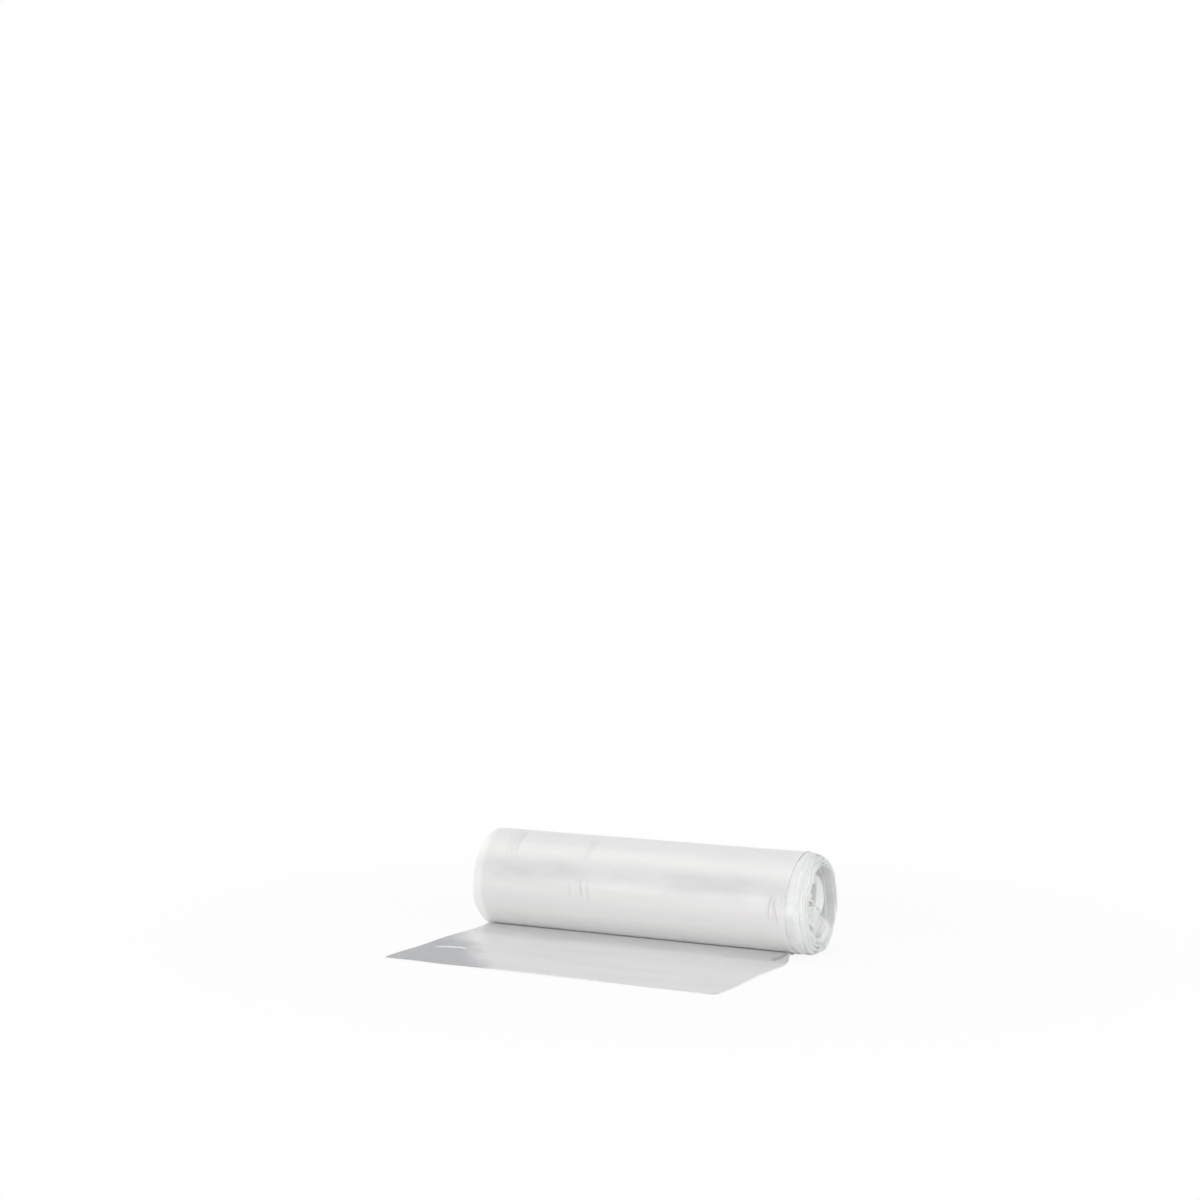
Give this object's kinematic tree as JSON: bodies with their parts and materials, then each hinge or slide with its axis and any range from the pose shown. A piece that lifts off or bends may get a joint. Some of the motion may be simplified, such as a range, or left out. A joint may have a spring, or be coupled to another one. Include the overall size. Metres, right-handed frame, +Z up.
{
  "type": "bin bag roll",
  "caption": "Coreless roll of translucent white bin bags lying on its side, its loose end pulled out flat in front; turns telescoped at the ends.",
  "frame": {"origin": "on the surface the roll lies on, under the middle of the roll's length, on the line where the loose end comes out from under the roll", "axes": "+X along the roll towards the end whose inner turns have sunk in, -Y the way the loose end lies, +Z up"},
  "size_m": [0.2232, 0.1655, 0.0606],
  "materials": {
    "film": "satin, milky translucent high-density polyethylene film with fine creases"
  },
  "bodies": {
    "root": {"liner_roll": "film"}
  },
  "joints": []
}
